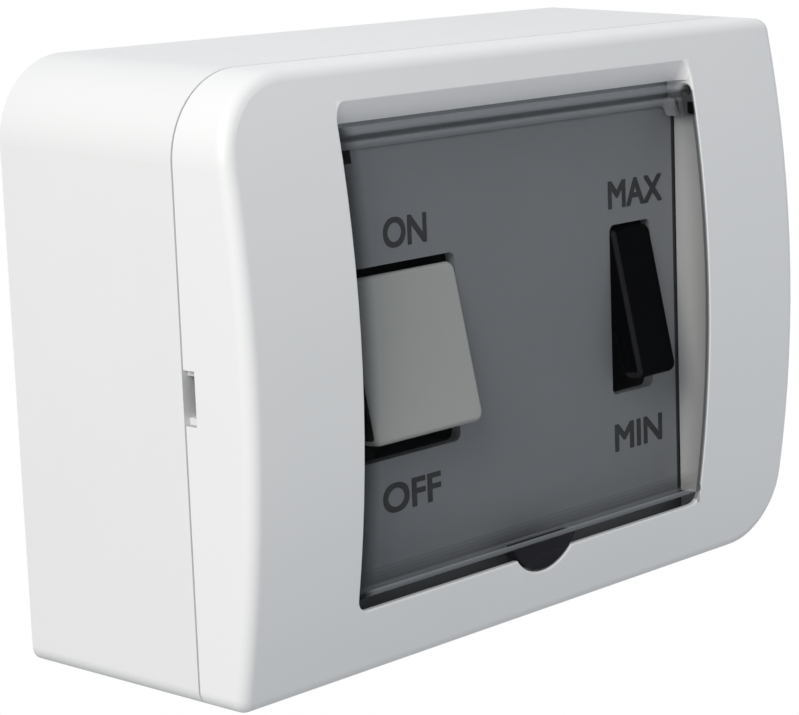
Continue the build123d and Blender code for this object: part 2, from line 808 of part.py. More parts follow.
def box_capacitor(size, place):
    """Moulded box capacitor with two leads."""
    body = Pos(0, 0, size[2] / 2) * Box(*size)
    body = fillet(body.edges().filter_by(Axis.Z), cap_edge_round)
    for x, y in box_leads(size):
        body += lead(x, y, lead_radius)
    return on_board(body, place)


def choke_core():
    """Ring core of the suppression choke."""
    ring = Circle(choke_outer_radius) - Circle(choke_inner_radius)
    return on_board(slab(ring, winding_thickness, winding_thickness + choke_height), choke_place)


def choke_winding():
    """Wire wound round most of the core, with its two ends through the board."""
    gap = blade_clearance
    mid = (choke_outer_radius + choke_inner_radius) / 2
    across = choke_outer_radius - choke_inner_radius + 2 * gap
    height = choke_height + 2 * gap
    section = Rectangle(across + 2 * winding_thickness - 2 * gap, height + 2 * winding_thickness - 2 * gap)
    section -= Rectangle(across, height)
    face = Pos(mid, 0, winding_thickness + choke_height / 2) * Rot(90, 0, 0) * section
    coil = Rot(0, 0, -winding_arc / 2) * revolve(face, Axis.Z, winding_arc)
    for x, y in choke_leads():
        coil += lead(x, y, winding_thickness / 2)
    return on_board(coil, choke_place)


def triac_hole():
    """Height of the triac's screw above the board."""
    return triac_lift + tab_length - triac_screw_inset


def triac_tab():
    """Metal tab of the triac, flat against the heat sink, with its three leads."""
    half = tab_width / 2
    hole = triac_hole()
    tab = block((-half, half), (0, tab_thickness), (triac_lift, triac_lift + tab_length))
    tab -= rod(screw_radius + hole_clearance, (0, 0, hole), (0, tab_thickness, hole))
    leads = [lead(x, y, triac_lift) for x, y in triac_leads()]
    return [on_board(piece, sink_place) for piece in [tab, *leads]]


def triac_case():
    """Moulded case of the triac on its tab."""
    half = tab_width / 2
    depth = (tab_thickness, triac_case_thickness)
    case = block((-half, half), depth, (triac_lift, triac_lift + triac_case_length))
    return on_board(case, sink_place)


def heat_sink():
    """Finned aluminium heat sink standing on the board, drilled for the triac's screw."""
    half = sink_length / 2
    plate = block((-half, half), (-sink_plate, 0), (0, sink_height + triac_lift))
    pitch = (sink_length - sink_fin_thickness) / (sink_fin_count - 1)
    reach = (-sink_plate - sink_fin_reach, -sink_plate / 2)
    for i in range(sink_fin_count):
        low = i * pitch - half
        plate += block((low, low + sink_fin_thickness), reach, (0, sink_height))
    hole = triac_hole()
    plate -= rod(screw_radius + pilot_clearance, (0, -sink_plate, hole), (0, 0, hole))
    return on_board(plate, sink_place)


def triac_screw():
    """Screw through the tab into the heat sink."""
    hole = triac_hole()
    piece = rod(screw_head_radius, (0, tab_thickness, hole), (0, tab_thickness + screw_head_height, hole))
    piece += rod(screw_radius, (0, -sink_plate, hole), (0, tab_thickness, hole))
    return on_board(piece, sink_place)


def axial_part(place):
    """Small part lying along the board, its leads bent down at both ends."""
    lift = axial_radius + lead_clearance
    body = rod(axial_radius, (0, -axial_length / 2, lift), (0, axial_length / 2, lift))
    body = fillet(body.edges(), axial_radius / 2)
    body += rod(lead_radius, (0, -axial_span / 2, lift), (0, axial_span / 2, lift))
    for x, y in axial_ends():
        body += lead(x, y, lift) + Pos(x, y, lift) * Sphere(lead_radius)
    return on_board(body, place)


def rockers_and_contacts():
    """Both switches, each with its own width and throws."""
    nodes = {}
    for name, x, width, end_gap, throws in (
        ("on_off", on_off_x, on_off_width, on_off_end_gap, (-1,)),
        ("speed", speed_x, speed_width, speed_end_gap, (-1, 1)),
    ):
        nodes[f"{name}_rocker"] = at_pivot(rocker(width), x)
        nodes[f"{name}_plunger"] = at_pivot(plunger(), x)
        nodes[f"{name}_spring"] = at_pivot(spring(), x)
        nodes[f"{name}_switch_body"] = switch_body(x, width, end_gap, throws)
        nodes[f"{name}_terminals"] = switch_terminals(x, throws)
        nodes[f"{name}_contact_arm"] = contact_arm(x, throws)
    return nodes


def all_pieces():
    """Every piece of the regulator by name."""
    return {
        "back_box": back_box(),
        "front_cover": front_cover(),
        "flap": flap(),
        "fascia_plate": fascia_plate(),
        "fascia_screws": fascia_screws(),
        "circuit_board": circuit_board(),
        "board_screws": board_screws(),
        **rockers_and_contacts(),
        "terminal_housing": terminal_housing(),
        "terminal_clamps": terminal_clamps(),
        "terminal_screws": terminal_screws(),
        "fuse_tube": fuse_tube(),
        "fuse_caps": fuse_caps(),
        "fuse_clips": fuse_clips(),
        "film_capacitor": box_capacitor(film_cap_size, film_cap_place),
        "timing_capacitor": box_capacitor(timing_cap_size, timing_cap_place),
        "choke_core": choke_core(),
        "choke_winding": choke_winding(),
        "triac_tab": triac_tab(),
        "triac_case": triac_case(),
        "triac_screw": triac_screw(),
        "heat_sink": heat_sink(),
        "resistors": [axial_part(place) for place in resistor_places()],
        "diac": axial_part(diac_place),
    }


def write(name, piece):
    """Stands a piece against the wall and writes it."""
    solids = piece if isinstance(piece, list) else [piece]
    stood = [Plane.XZ * solid for solid in solids]
    export_step(stood[0] if len(stood) == 1 else Compound(children=stood), f"parts/{name}.step")


os.makedirs("parts", exist_ok=True)
for node, piece in all_pieces().items():
    write(node, piece)
print(f"flap hinge {hinge_y:.3f} up, {hinge_depth:.3f} out")
print(f"rockers {on_off_x:.3f} and {speed_x:.3f} across, pivot {pivot_depth:.3f} out, arm {arm_axis:.3f} out")
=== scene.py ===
"""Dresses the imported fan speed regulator: finishes, printed words, lamps and camera."""

import logging
import math
from dataclasses import dataclass
from enum import Enum

import bmesh
import bpy
from mathutils import Matrix, Vector


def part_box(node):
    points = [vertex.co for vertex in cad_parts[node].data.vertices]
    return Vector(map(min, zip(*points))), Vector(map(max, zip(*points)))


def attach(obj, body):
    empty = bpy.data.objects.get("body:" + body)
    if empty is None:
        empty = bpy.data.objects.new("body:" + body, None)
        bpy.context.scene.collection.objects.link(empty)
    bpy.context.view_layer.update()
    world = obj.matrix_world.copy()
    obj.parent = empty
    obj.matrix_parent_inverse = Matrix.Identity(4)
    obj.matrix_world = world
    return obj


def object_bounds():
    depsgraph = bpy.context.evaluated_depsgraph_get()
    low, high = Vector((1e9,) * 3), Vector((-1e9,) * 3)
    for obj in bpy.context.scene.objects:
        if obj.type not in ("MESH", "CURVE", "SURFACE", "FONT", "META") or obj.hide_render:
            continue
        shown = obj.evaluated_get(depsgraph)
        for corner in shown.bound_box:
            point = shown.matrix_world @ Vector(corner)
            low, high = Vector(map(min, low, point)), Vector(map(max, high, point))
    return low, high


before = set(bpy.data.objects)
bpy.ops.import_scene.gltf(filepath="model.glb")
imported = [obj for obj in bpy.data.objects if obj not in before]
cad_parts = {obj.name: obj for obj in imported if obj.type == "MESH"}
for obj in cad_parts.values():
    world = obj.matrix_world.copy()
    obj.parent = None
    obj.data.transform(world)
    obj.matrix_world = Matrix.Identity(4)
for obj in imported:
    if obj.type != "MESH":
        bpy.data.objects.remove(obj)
CAD_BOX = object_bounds()
LOG = logging.getLogger("fan_speed_regulator")
MM = 0.001
Tree = bpy.types.NodeTree
Socket = bpy.types.NodeSocket


def linear(hex_colour: str) -> tuple[float, float, float, float]:
    """Turns an sRGB hex value into a linear colour.

    Args:
        hex_colour: six hex digits after a hash sign.

    Returns:
        Red, green, blue and an alpha of 1.
    """
    shares = [int(hex_colour[i : i + 2], 16) / 255 for i in (1, 3, 5)]
    steps = [s / 12.92 if s <= 0.04045 else ((s + 0.055) / 1.055) ** 2.4 for s in shares]
    return (*steps, 1.0)


def per_metre(size_mm: float) -> float:
    """Texture scale at which one cell of a pattern has this size."""
    return 1.0 / (size_mm * MM)


def add(tree: Tree, kind: str, inputs: dict | None = None, **settings: object) -> bpy.types.Node:
    """Adds a node with its settings and links.

    Args:
        tree: the material's or the world's tree.
        kind: Blender's name for the node.
        inputs: a value or another node's output for each input, by name or number.
        settings: the node's own options.

    Returns:
        The new node.
    """
    node = tree.nodes.new(kind)
    for name, value in settings.items():
        setattr(node, name, value)
    for key, value in (inputs or {}).items():
        if isinstance(value, Socket):
            tree.links.new(value, node.inputs[key])
        else:
            node.inputs[key].default_value = value
    return node


def blend(tree: Tree, share: Socket, under: object, over: object) -> Socket:
    """Mixes two colours.

    Args:
        tree: the material's tree.
        share: how much of the second colour shows.
        under: the first colour, or an output that gives it.
        over: the second colour, or an output that gives it.

    Returns:
        The mixed colour's output.
    """
    ends = {0: share, 6: under, 7: over}
    return add(tree, "ShaderNodeMix", ends, data_type="RGBA").outputs[2]


def start(name: str) -> bpy.types.Material:
    """Makes a material with an empty tree."""
    material = bpy.data.materials.new(name)
    material.use_nodes = True
    material.node_tree.nodes.clear()
    return material


def close(material: bpy.types.Material, shader: bpy.types.Node) -> bpy.types.Material:
    """Joins a shader to the material's output."""
    add(material.node_tree, "ShaderNodeOutputMaterial", {"Surface": shader.outputs[0]})
    return material


@dataclass(frozen=True)
class PaintedLightZone:
    """Box-shaped part of a piece where light and shade are painted into its colour: two corners in
    millimetres, colour and cover.
    """

    low: tuple[float, float, float]
    high: tuple[float, float, float]
    colour: str
    cover: float = 1.0

    def mask(self, tree: Tree, place: Socket) -> Socket:
        """Marks the zone.

        Args:
            tree: the material's tree.
            place: the piece's own coordinates.

        Returns:
            An output of 1 inside the zone and 0 outside it.
        """
        middle = [(a + b) / 2 * MM for a, b in zip(self.low, self.high)]
        half = [(b - a) / 2 * MM for a, b in zip(self.low, self.high)]
        shifted = add(tree, "ShaderNodeVectorMath", {0: place, 1: middle}, operation="SUBTRACT")
        away = add(tree, "ShaderNodeVectorMath", {0: shifted.outputs[0]}, operation="ABSOLUTE")
        over = add(tree, "ShaderNodeVectorMath", {0: away.outputs[0], 1: half}, operation="SUBTRACT")
        x, y, z = add(tree, "ShaderNodeSeparateXYZ", {0: over.outputs[0]}).outputs
        wide = add(tree, "ShaderNodeMath", {0: x, 1: y}, operation="MAXIMUM")
        worst = add(tree, "ShaderNodeMath", {0: wide.outputs[0], 1: z}, operation="MAXIMUM")
        return add(tree, "ShaderNodeMath", {0: worst.outputs[0], 1: 0.0}, operation="LESS_THAN").outputs[0]


@dataclass(frozen=True)
class Moulded:
    """Moulded or cast plastic: an even colour that drifts a little, over the fine grain of its tool."""

    name: str
    colour: str
    shade: str
    roughness: float
    ior: float = 1.53
    specular: float = 0.5
    drift_mm: float = 28.0
    grain_mm: float = 0.6
    relief_mm: float = 0.006
    relief_strength: float = 0.6
    gloss_swing: float = 0.05
    zones: tuple[PaintedLightZone, ...] = ()

    def make(self) -> bpy.types.Material:
        """Makes the material: drifting colour, grain in the gloss and a low relief."""
        material = start(self.name)
        tree = material.node_tree
        place = add(tree, "ShaderNodeTexCoord").outputs["Object"]
        grain = add(tree, "ShaderNodeTexNoise", {"Vector": place, "Scale": per_metre(self.grain_mm)})
        ends = {3: self.roughness - self.gloss_swing, 4: self.roughness + self.gloss_swing}
        rough = add(tree, "ShaderNodeMapRange", {"Value": grain.outputs[0], **ends})
        rise = {"Distance": self.relief_mm * MM, "Strength": self.relief_strength}
        relief = add(tree, "ShaderNodeBump", {"Height": grain.outputs[0], **rise})
        sockets = {
            "Base Color": self.tone(tree, place),
            "Roughness": rough.outputs[0],
            "Normal": relief.outputs[0],
            "IOR": self.ior,
            "Specular IOR Level": self.specular,
        }
        return close(material, add(tree, "ShaderNodeBsdfPrincipled", sockets))

    def tone(self, tree: Tree, place: Socket) -> Socket:
        """Makes the drifting colour, with its zones of painted light and shade over it.

        Args:
            tree: the material's tree.
            place: the piece's own coordinates.

        Returns:
            The colour's output.
        """
        drift = add(tree, "ShaderNodeTexNoise", {"Vector": place, "Scale": per_metre(self.drift_mm)})
        tone = blend(tree, drift.outputs[0], linear(self.shade), linear(self.colour))
        for zone in self.zones:
            tone = blend(tree, zone.mask(tree, place), tone, linear(zone.colour))
        return tone


class Lay(Enum):
    """Which way the marks of a metal's making run."""

    ACROSS = (1.0, 14.0, 14.0)
    UP = (14.0, 14.0, 1.0)
    EVEN = (1.0, 1.0, 1.0)


@dataclass(frozen=True)
class Metal:
    """Bare or plated metal with the marks of drawing, stamping or plating."""

    name: str
    colour: str
    shade: str
    roughness: float
    lay: Lay = Lay.EVEN
    mark_mm: float = 2.0
    gloss_swing: float = 0.08

    def make(self) -> bpy.types.Material:
        """Makes the material: toned reflections and marks that run with the metal's making."""
        material = start(self.name)
        tree = material.node_tree
        place = add(tree, "ShaderNodeTexCoord").outputs["Object"]
        run = add(tree, "ShaderNodeMapping", {"Vector": place, "Scale": self.lay.value})
        marks = add(tree, "ShaderNodeTexNoise", {"Vector": run.outputs[0], "Scale": per_metre(self.mark_mm)})
        tone = blend(tree, marks.outputs[0], linear(self.shade), linear(self.colour))
        ends = {3: self.roughness - self.gloss_swing, 4: self.roughness + self.gloss_swing}
        rough = add(tree, "ShaderNodeMapRange", {"Value": marks.outputs[0], **ends})
        sockets = {"Base Color": tone, "Roughness": rough.outputs[0], "Metallic": 1.0}
        return close(material, add(tree, "ShaderNodeBsdfPrincipled", sockets))


@dataclass(frozen=True)
class SmokeAndPaintedLightBand:
    """Part of the flap from one height up: its smoke, with painted highlight and shade by the bead and roll,
    and how much light it stops.
    """

    from_mm: float
    colour: str
    cover: float


@dataclass(frozen=True)
class PaintedEdgeShade:
    """Painted shade along a side of the flap: where the shade starts and where it is full."""

    from_mm: float
    to_mm: float
    colour: str
    cover: float

    def rise(self, tree: Tree, across: Socket) -> Socket:
        """Makes the shade's rise towards the edge.

        Args:
            tree: the material's tree.
            across: the piece's own coordinate across the flap.

        Returns:
            An output that rises from 0 to 1.
        """
        ends = {"Value": across, 1: self.from_mm * MM, 2: self.to_mm * MM}
        return add(tree, "ShaderNodeMapRange", ends, interpolation_type="SMOOTHSTEP").outputs[0]


@dataclass(frozen=True)
class SmokedPane:
    """Polycarbonate dyed smoke grey and polished: it dims what lies behind it."""

    name: str
    bands: tuple[SmokeAndPaintedLightBand, ...]
    zones: tuple[PaintedLightZone, ...]
    edges: tuple[PaintedEdgeShade, ...]
    roughness: float
    specular: float
    span_mm: float = 40.0

    def make(self) -> bpy.types.Material:
        """Makes the material: a thin grey cover in the pane, more of it where the moulding is thick, and
        painted highlights and shade in its bands, edges and zones.
        """
        material = start(self.name)
        tree = material.node_tree
        place = add(tree, "ShaderNodeTexCoord").outputs["Object"]
        across, _, height = add(tree, "ShaderNodeSeparateXYZ", {0: place}).outputs
        tone, cover = self.banded(tree, height)
        layers = [(edge.rise(tree, across), edge) for edge in self.edges]
        layers += [(zone.mask(tree, place), zone) for zone in self.zones]
        for share, layer in layers:
            tone = blend(tree, share, tone, linear(layer.colour))
            covers = {0: share, 2: cover, 3: layer.cover}
            cover = add(tree, "ShaderNodeMix", covers, data_type="FLOAT").outputs[0]
        sockets = {
            "Base Color": tone,
            "Alpha": cover,
            "Roughness": self.roughness,
            "Specular IOR Level": self.specular,
        }
        return close(material, add(tree, "ShaderNodeBsdfPrincipled", sockets))

    def banded(self, tree: Tree, height: Socket) -> tuple[Socket, Socket]:
        """Makes the bands over the flap's height.

        Args:
            tree: the material's tree.
            height: the piece's own height.

        Returns:
            The outputs of the colour and of the cover.
        """
        span = self.span_mm * MM
        share = add(tree, "ShaderNodeMapRange", {"Value": height, 1: -span, 2: span})
        ramp = add(tree, "ShaderNodeValToRGB", {0: share.outputs[0]})
        ramp.color_ramp.interpolation = "CONSTANT"
        stops = ramp.color_ramp.elements
        while len(stops) < len(self.bands):
            stops.new(1.0)
        for stop, band in zip(stops, self.bands):
            stop.position = (band.from_mm + self.span_mm) / (2 * self.span_mm)
            stop.color = (*linear(band.colour)[:3], band.cover)
        return ramp.outputs["Color"], ramp.outputs["Alpha"]


# Moulded ABS, satin from its tool: soft broad highlights on a bluish white.
WHITE_ABS = Moulded("white_abs_satin", "#F0F1F1", "#EBEDED", 0.40)
# The cover's copy of it, painted a touch whiter for the brighter light on its sides. Its zones are a painted
# highlight on the sloping head, then painted shade in the window's right edge, in the corner at its foot, on
# the ledge under the hinge and in the left slot.
COVER_ABS = Moulded(
    "white_abs_cover",
    "#F5F6F6",
    "#F1F3F3",
    0.38,
    zones=(
        PaintedLightZone((-42.3, -49.0, 35.45), (40.3, -45.2, 39.1), "#FFFFFF"),
        PaintedLightZone((39.9, -52.0, -35.5), (40.45, -40.0, 34.0), "#A8ABAE"),
        PaintedLightZone((38.0, -46.9, -37.5), (43.4, -42.0, -34.4), "#5A5D60"),
        PaintedLightZone((-45.0, -45.5, 29.5), (42.1, -42.8, 33.4), "#B4B8BC"),
        PaintedLightZone((-64.9, -41.0, -5.2), (-61.0, -37.0, 3.6), "#B4B6B9"),
    ),
)
# Matt grey ABS, sparked tool: no clear reflections behind the flap. Its zones are painted shade at the foot
# and at both sides, where the cover stands on the plate.
GREY_ABS = Moulded(
    "grey_abs_sparked",
    "#A9ADB1",
    "#A3A7AB",
    0.62,
    grain_mm=0.5,
    relief_mm=0.012,
    zones=(
        PaintedLightZone((-60.0, -45.0, -40.0), (60.0, -40.0, -35.4), "#44474A"),
        PaintedLightZone((41.6, -45.0, -40.0), (46.0, -40.0, 40.0), "#44474A"),
        PaintedLightZone((-48.0, -45.0, -40.0), (-43.6, -40.0, 40.0), "#44474A"),
    ),
)
# Off-white polycarbonate, a shade greener than the case; its zones darken both sides with painted
# shade.
WHITE_ROCKER = Moulded(
    "off_white_painted_side_shade",
    "#E0E3DE",
    "#D9DDD8",
    0.34,
    zones=(
        PaintedLightZone((-38.0, -60.0, -20.0), (-37.2, -30.0, 20.0), "#0A0A0B"),
        PaintedLightZone((-13.5, -60.0, -20.0), (-12.0, -30.0, 20.0), "#0A0A0B"),
    ),
)
# Black polycarbonate, satin: nearly black, with a painted highlight along its near edge.
BLACK_ROCKER = Moulded(
    "black_polycarbonate",
    "#060607",
    "#040405",
    0.36,
    specular=0.01,
    zones=(PaintedLightZone((25.15, -60.0, -20.0), (25.95, -41.0, 20.0), "#343436"),),
)
# Natural nylon: cream and waxy.
NYLON = Moulded("natural_nylon", "#E9E4D2", "#DFD8C2", 0.5)
# Glass-filled nylon: black with a dry grain.
BLACK_NYLON = Moulded("glass_filled_nylon", "#1B1B1D", "#121214", 0.6, relief_mm=0.015)
# Dark grey nylon of the terminal block: dull, so that the brass in it stands out.
GREY_NYLON = Moulded("dark_grey_nylon", "#4A4D50", "#404346", 0.55)
# Paper laminate: brown, with the cloudy fibres of its paper.
LAMINATE = Moulded("paper_laminate", "#B08A4C", "#8F6A34", 0.5, drift_mm=3.0)
# Moulded box of a capacitor: bright yellow with a soft gloss.
FILM_BOX = Moulded("yellow_capacitor_box", "#E0AE2C", "#D29F20", 0.35)
# Iron powder under yellow lacquer: uneven, with a dull shine.
POWDER_CORE = Moulded("lacquered_iron_powder", "#C8AE34", "#B0962A", 0.45, drift_mm=4.0)
# Black epoxy of the triac: matt from its mould.
BLACK_EPOXY = Moulded("black_epoxy", "#202022", "#161618", 0.55)
# Lacquer of a small resistor: beige and glossy.
RESISTOR_LACQUER = Moulded("beige_resistor_lacquer", "#D4B78C", "#C8A878", 0.3)
# Lacquer of the diac: blue and glassy.
BLUE_LACQUER = Moulded("blue_bead_lacquer", "#3C62B0", "#31529A", 0.25)
# Stamped brass: warm, with the fine lines of rolling.
BRASS = Metal("stamped_brass", "#D8B468", "#C09C52", 0.32, Lay.UP)
# Zinc plating on steel: pale grey, slightly cloudy.
ZINC = Metal("zinc_plated_steel", "#CFD2D4", "#B8BCC0", 0.34)
# Drawn spring wire: darker, with lines along it.
SPRING_WIRE = Metal("drawn_spring_wire", "#B4B6B8", "#9A9CA0", 0.3)
# Nickel plating: warm white and bright.
NICKEL = Metal("nickel_plate", "#DAD6CC", "#C8C4BA", 0.22)
# Extruded aluminium: pale, with die lines along the fins.
ALUMINIUM = Metal("extruded_aluminium", "#D2D4D6", "#BEC0C2", 0.38, Lay.UP)
# Copper wire under clear enamel: warm red with sharp lights along the turns.
COPPER = Metal("enamelled_copper", "#C8744A", "#A8582E", 0.28)
# Pale matt paper: the floor throws a soft light on the underside.
PAPER = Moulded("pale_paper", "#CFCFCE", "#CACAC9", 0.9)
# Smoked polycarbonate of the flap: its thick tab passes hardly any light. Its bands run from the tab past the
# bead and the pane to the hinge roll; the light bands on the bead and the roll are painted highlights, the
# dark lines next to them painted shade. Its zones are painted shade on the right web and two black corners of
# painted shade, and its edges painted shade along both sides.
SMOKE = SmokedPane(
    "smoked_polycarbonate",
    bands=(
        SmokeAndPaintedLightBand(-40.0, "#303034", 0.88),
        SmokeAndPaintedLightBand(-33.7, "#B4B8BC", 0.42),
        SmokeAndPaintedLightBand(-32.5, "#101112", 0.34),
        SmokeAndPaintedLightBand(-31.4, "#141517", 0.25),
        SmokeAndPaintedLightBand(-30.2, "#16181A", 0.155),
        SmokeAndPaintedLightBand(32.2, "#84888C", 0.24),
        SmokeAndPaintedLightBand(33.1, "#0C0D0E", 0.31),
        SmokeAndPaintedLightBand(33.8, "#A2A6AA", 0.3),
    ),
    zones=(
        PaintedLightZone((37.2, -60.0, 29.9), (43.0, -40.0, 34.3), "#101113", 0.42),
        PaintedLightZone((38.8, -60.0, 30.2), (41.0, -47.3, 32.1), "#030303", 0.94),
        PaintedLightZone((-43.0, -60.0, 30.2), (-40.8, -47.3, 32.1), "#030303", 0.94),
    ),
    edges=(PaintedEdgeShade(-38.6, -42.0, "#0C0D0E", 0.55), PaintedEdgeShade(36.6, 40.0, "#0C0D0E", 0.27)),
    roughness=0.12,
    specular=0.012,
)


@dataclass(frozen=True)
class ClearGlass:
    """Drawn glass tube: clear, with a bright rim."""

    name: str = "drawn_glass"
    tint: str = "#EEF4F4"
    roughness: float = 0.03
    ior: float = 1.5

    def make(self) -> bpy.types.Material:
        """Makes the material: clear sheet with a polished surface."""
        material = start(self.name)
        tree = material.node_tree
        sheet = add(tree, "ShaderNodeBsdfTransparent", {"Color": linear(self.tint)})
        polish = add(tree, "ShaderNodeBsdfGlossy", {"Roughness": self.roughness})
        share = add(tree, "ShaderNodeFresnel", {"IOR": self.ior})
        layers = {0: share.outputs[0], 1: sheet.outputs[0], 2: polish.outputs[0]}
        return close(material, add(tree, "ShaderNodeMixShader", layers))


@dataclass(frozen=True)
class PrintedInk:
    """Pad-printed ink: matt dark grey, thinner here and there."""

    name: str = "pad_printed_ink"
    colour: str = "#36383B"
    thin: str = "#46484B"
    speck_mm: float = 0.7
    roughness: float = 0.6

    def make(self) -> bpy.types.Material:
        """Makes the material: dark ink with thin specks."""
        material = start(self.name)
        tree = material.node_tree
        place = add(tree, "ShaderNodeTexCoord").outputs["Object"]
        specks = add(tree, "ShaderNodeTexNoise", {"Vector": place, "Scale": per_metre(self.speck_mm)})
        tone = blend(tree, specks.outputs[0], linear(self.colour), linear(self.thin))
        sockets = {"Base Color": tone, "Roughness": self.roughness}
        return close(material, add(tree, "ShaderNodeBsdfPrincipled", sockets))


def dress(finish: Moulded | Metal | SmokedPane | ClearGlass, *nodes: str) -> None:
    """Gives CAD nodes one finish.

    Args:
        finish: what they are made of.
        nodes: their names.
    """
    material = finish.make()
    for name in nodes:
        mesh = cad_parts[name].data
        mesh.materials.clear()
        mesh.materials.append(material)
        LOG.info("dressed %s in %s", name, material.name)


def new_piece(
    name: str, shape: bmesh.types.BMesh, material: bpy.types.Material, body: str
) -> bpy.types.Object:
    """Turns a finished shape into a piece that moves with a body.

    Args:
        name: the piece's name.
        shape: its mesh, in place.
        material: its finish.
        body: the CAD body that carries it.

    Returns:
        The new object.
    """
    mesh = bpy.data.meshes.new(name)
    shape.to_mesh(mesh)
    shape.free()
    mesh.materials.append(material)
    piece = bpy.data.objects.new(name, mesh)
    bpy.context.scene.collection.objects.link(piece)
    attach(piece, body)
    LOG.info("made %s", name)
    return piece


@dataclass
class Case:
    """White back box and bowed cover."""

    box: str = "back_box"
    cover: str = "front_cover"

    def dress(self) -> None:
        """Gives both mouldings their satin white."""
        dress(WHITE_ABS, self.box)
        dress(COVER_ABS, self.cover)


@dataclass
class Flap:
    """Smoked flap with its hinge roll, bead and finger tab."""

    node: str = "flap"

    def dress(self) -> None:
        """Gives the flap its smoke and its painted highlights and shade."""
        dress(SMOKE, self.node)


@dataclass(frozen=True)
class Word:
    """One printed word: its letters, the middle of its foot and its size, in millimetres."""

    letters: str
    x: float
    z: float
    width: float
    height: float = 4.6


@dataclass
class Fascia:
    """Grey plate behind the flap, with its printed words and screws.

    The font's own units give half_depth, before the ink is scaled to its thickness, spread, by which copies
    widen the strokes, and sink, by which each copy lies deeper, so that no two fronts share a plane.
    """

    node: str = "fascia_plate"
    screws: str = "fascia_screws"
    ink_mm: float = 0.06
    half_depth: float = 0.5
    spread: float = 0.045
    sink: float = 0.15
    weld: float = 1e-5
    words: tuple[Word, ...] = (
        Word("ON", -23.8, 15.9, 9.5),
        Word("OFF", -24.3, -24.1, 12.9),
        Word("MAX", 31.7, 15.7, 14.3),
        Word("MIN", 31.3, -24.7, 12.7),
    )

    def dress(self) -> None:
        """Gives the plate and its screws their finishes."""
        dress(GREY_ABS, self.node)
        dress(ZINC, self.screws)

    def build(self) -> None:
        """Prints the words on the plate's front."""
        ink = PrintedInk().make()
        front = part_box(self.node)[0].y
        for word in self.words:
            piece = new_piece(f"word_{word.letters.lower()}", self.print_word(word, front), ink, "case")

    def print_word(self, word: Word, front: float) -> bmesh.types.BMesh:
        """Makes one word as a thin layer of ink.

        Args:
            word: what to print and where.
            front: the plate's front face along Y, in metres.

        Returns:
            The word's mesh, in place.
        """
        shape = self.strokes(word.letters)
        lows = [min(v.co[axis] for v in shape.verts) for axis in range(2)]
        highs = [max(v.co[axis] for v in shape.verts) for axis in range(2)]
        foot = Vector(((lows[0] + highs[0]) / 2, lows[1], -self.half_depth))
        sizes = (word.width / (highs[0] - lows[0]), word.height / (highs[1] - lows[1]), self.ink_mm)
        upright = Matrix.Rotation(math.radians(90), 3, "X")
        bmesh.ops.translate(shape, verts=shape.verts, vec=-foot)
        bmesh.ops.scale(shape, verts=shape.verts, vec=Vector(sizes) * MM)
        bmesh.ops.rotate(shape, verts=shape.verts, cent=Vector(), matrix=upright)
        bmesh.ops.translate(shape, verts=shape.verts, vec=Vector((word.x * MM, front, word.z * MM)))
        return shape

    def strokes(self, letters: str) -> bmesh.types.BMesh:
        """Sets letters in the built-in font, with their strokes widened by shifted copies.

        Args:
            letters: what to set.

        Returns:
            The letters' mesh, flat on XY in the font's own units.
        """
        text = bpy.data.curves.new("word", "FONT")
        text.body = letters
        text.extrude = self.half_depth
        text_object = bpy.data.objects.new("word", text)
        mesh = bpy.data.meshes.new_from_object(text_object)
        bpy.data.objects.remove(text_object)
        bpy.data.curves.remove(text)
        shape = bmesh.new()
        shape.from_mesh(mesh)
        bpy.data.meshes.remove(mesh)
        bmesh.ops.remove_doubles(shape, verts=shape.verts, dist=self.weld)
        first = list(shape.verts) + list(shape.edges) + list(shape.faces)
        for order, (right, up) in enumerate(((1, 0), (0, 1), (1, 1)), 1):
            copy = bmesh.ops.duplicate(shape, geom=first)["geom"]
            corners = [item for item in copy if isinstance(item, bmesh.types.BMVert)]
            step = Vector((right * self.spread, up * self.spread, -order * self.sink))
            bmesh.ops.translate(shape, verts=corners, vec=step)
        return shape


@dataclass
class Switch:
    """One rocker with its plunger, spring, body and contacts."""

    name: str
    rocker: Moulded

    def dress(self) -> None:
        """Gives each piece of the switch its finish."""
        dress(self.rocker, f"{self.name}_rocker")
        dress(NYLON, f"{self.name}_plunger")
        dress(SPRING_WIRE, f"{self.name}_spring")
        dress(BLACK_NYLON, f"{self.name}_switch_body")
        dress(BRASS, f"{self.name}_terminals", f"{self.name}_contact_arm")


@dataclass
class Board:
    """Circuit board with its parts."""

    def dress(self) -> None:
        """Gives the board and each of its parts a finish."""
        dress(LAMINATE, "circuit_board")
        dress(ZINC, "board_screws", "terminal_screws", "triac_screw")
        dress(GREY_NYLON, "terminal_housing")
        dress(BRASS, "terminal_clamps", "fuse_clips")
        dress(ClearGlass(), "fuse_tube")
        dress(NICKEL, "fuse_caps", "triac_tab")
        dress(FILM_BOX, "film_capacitor", "timing_capacitor")
        dress(POWDER_CORE, "choke_core")
        dress(COPPER, "choke_winding")
        dress(BLACK_EPOXY, "triac_case")
        dress(ALUMINIUM, "heat_sink")
        dress(RESISTOR_LACQUER, "resistors")
        dress(BLUE_LACQUER, "diac")


